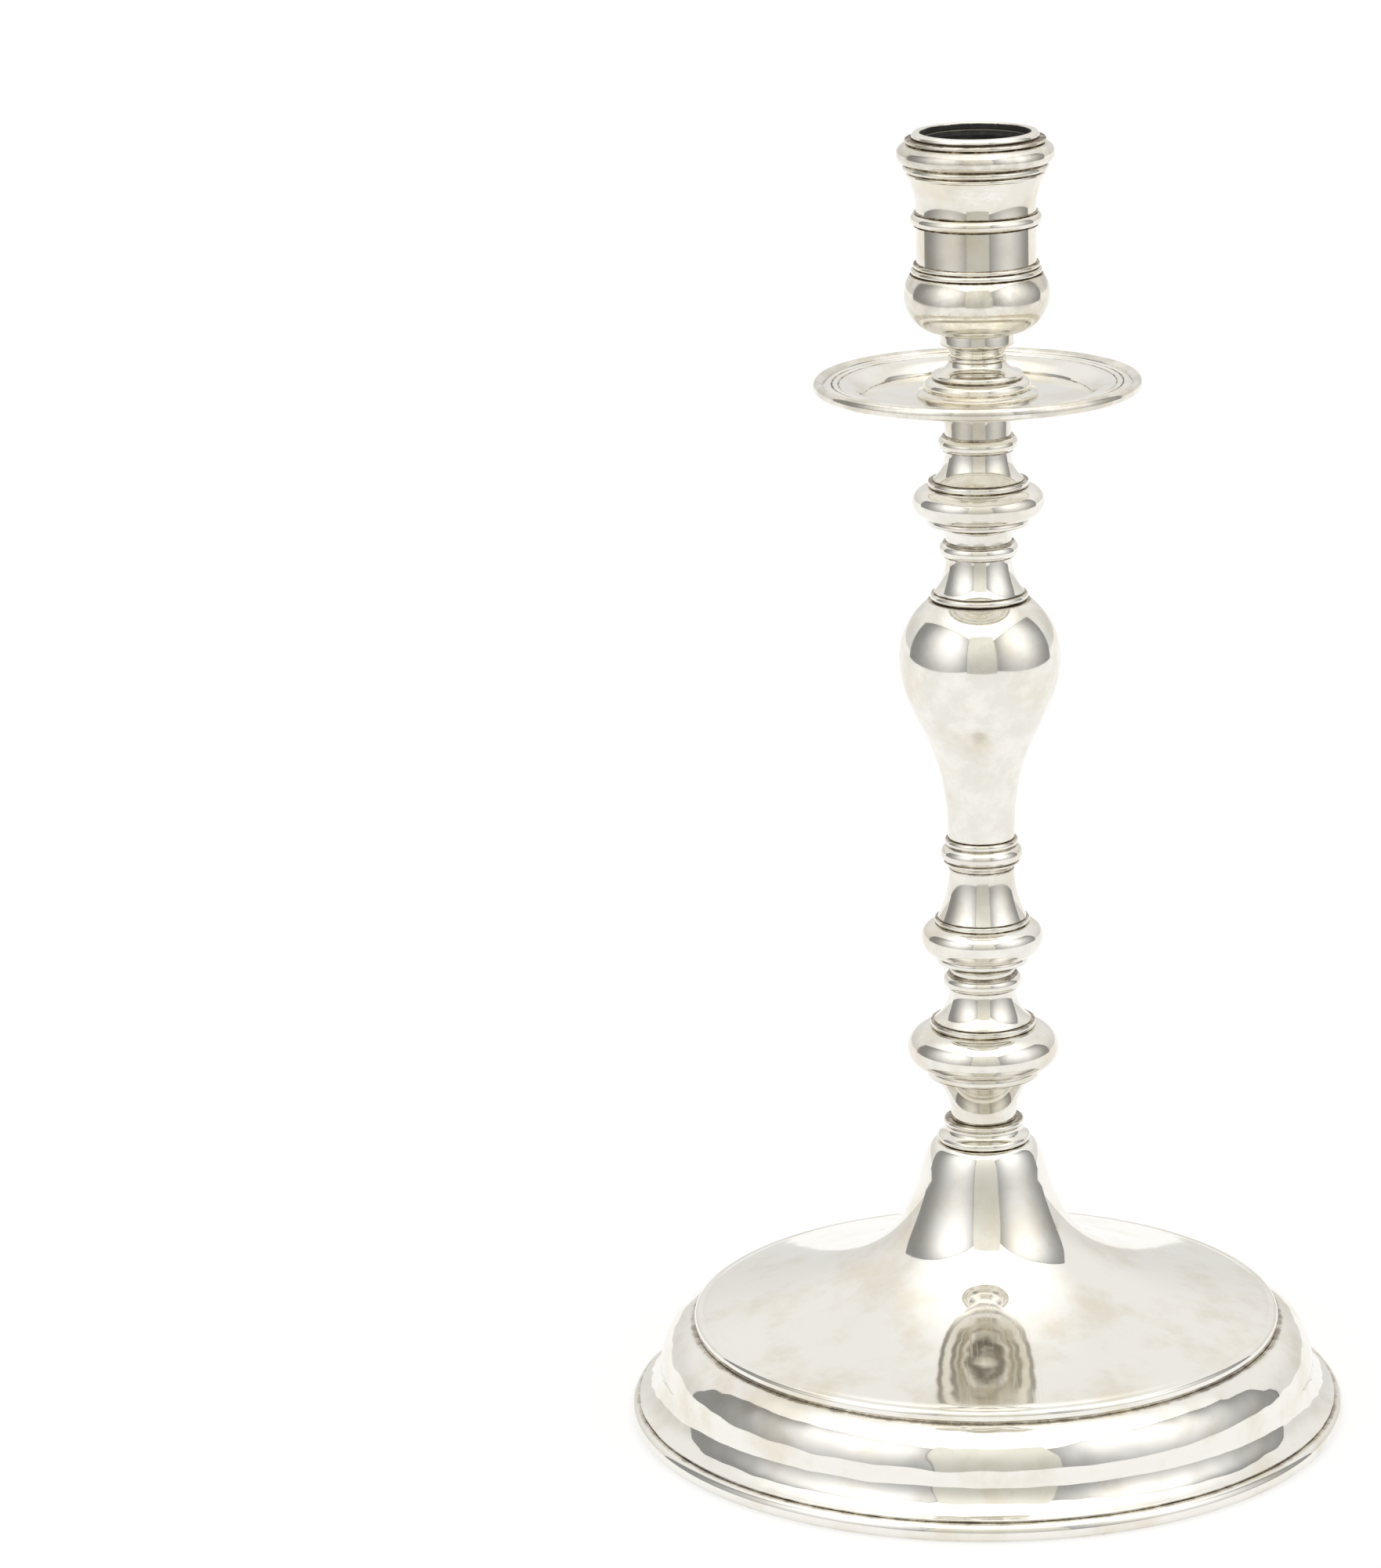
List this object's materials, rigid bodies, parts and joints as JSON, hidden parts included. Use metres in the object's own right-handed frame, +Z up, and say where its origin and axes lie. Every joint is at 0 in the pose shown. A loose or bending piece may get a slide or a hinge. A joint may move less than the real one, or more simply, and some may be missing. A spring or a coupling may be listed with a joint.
{
  "type": "candlestick",
  "caption": "Silver table candlestick: stepped round foot, baluster stem of hollow sections on a tie rod, drip pan, and a screw-off socket with a lift-out liner",
  "frame": {"origin": "on the table, under the middle of the foot", "axes": "+Z up, along the stem; +X and +Y level. The candlestick is round, so it has no front."},
  "size_m": [0.1576, 0.1576, 0.2846],
  "materials": {
    "silver": "polished, with fine scratches and tarnish in the grooves",
    "sooted_silver": "sooted inside, polished on its lip",
    "iron": "plain, lightly rusted",
    "brass": "dull"
  },
  "bodies": {
    "root": {"foot_wire": "silver", "foot_border": "silver", "foot_dish": "silver", "foot_collar": "silver", "lower_cone": "silver", "lower_knop": "silver", "lower_neck": "silver", "lower_bead": "silver", "middle_knop": "silver", "middle_neck": "silver", "vase_collar": "silver", "vase": "silver", "shoulder_ring": "silver", "shoulder_neck": "silver", "shoulder_bead": "silver", "upper_knop": "silver", "upper_neck": "silver", "upper_bead": "silver", "foot_bush": "brass", "stem_bush": "brass", "tie_rod": "iron"},
    "screw": {"socket_screw": "iron"},
    "socket": {"drip_pan": "silver", "pan_rim_wire": "silver", "socket_foot": "silver", "socket_collar": "silver", "cup_bowl": "silver", "socket_tube": "silver", "step_ring": "silver", "middle_band": "silver", "rim_moulding": "silver"},
    "liner": {"socket_liner": "sooted_silver"},
    "washer": {"rod_washer": "iron"},
    "nut": {"rod_nut": "iron"}
  },
  "joints": [
    {"name": "socket_lift", "type": "slide", "parent": "root", "child": "screw", "axis": [0, 0, 1], "range_m": [0, 0.008]},
    {"name": "socket_turn", "type": "hinge", "parent": "screw", "child": "socket", "pos_m": [0, 0, 0.2275], "axis": [0, 0, 1], "range_deg": [0, 1440]},
    {"name": "liner_lift", "type": "slide", "parent": "socket", "child": "liner", "axis": [0, 0, 1], "range_m": [0, 0.03]},
    {"name": "washer_drop", "type": "slide", "parent": "root", "child": "washer", "axis": [0, 0, -1], "range_m": [0, 0.006]},
    {"name": "nut_turn", "type": "hinge", "parent": "washer", "child": "nut", "pos_m": [0, 0, 0.0534], "axis": [0, 0, -1], "range_deg": [0, 1440]}
  ],
  "couplings": [
    {"joint": "socket_lift", "follows": "socket_turn", "m_per_rad": 0.0003183},
    {"joint": "nut_turn", "follows": "washer_drop", "rad_per_m": 4188.8}
  ]
}
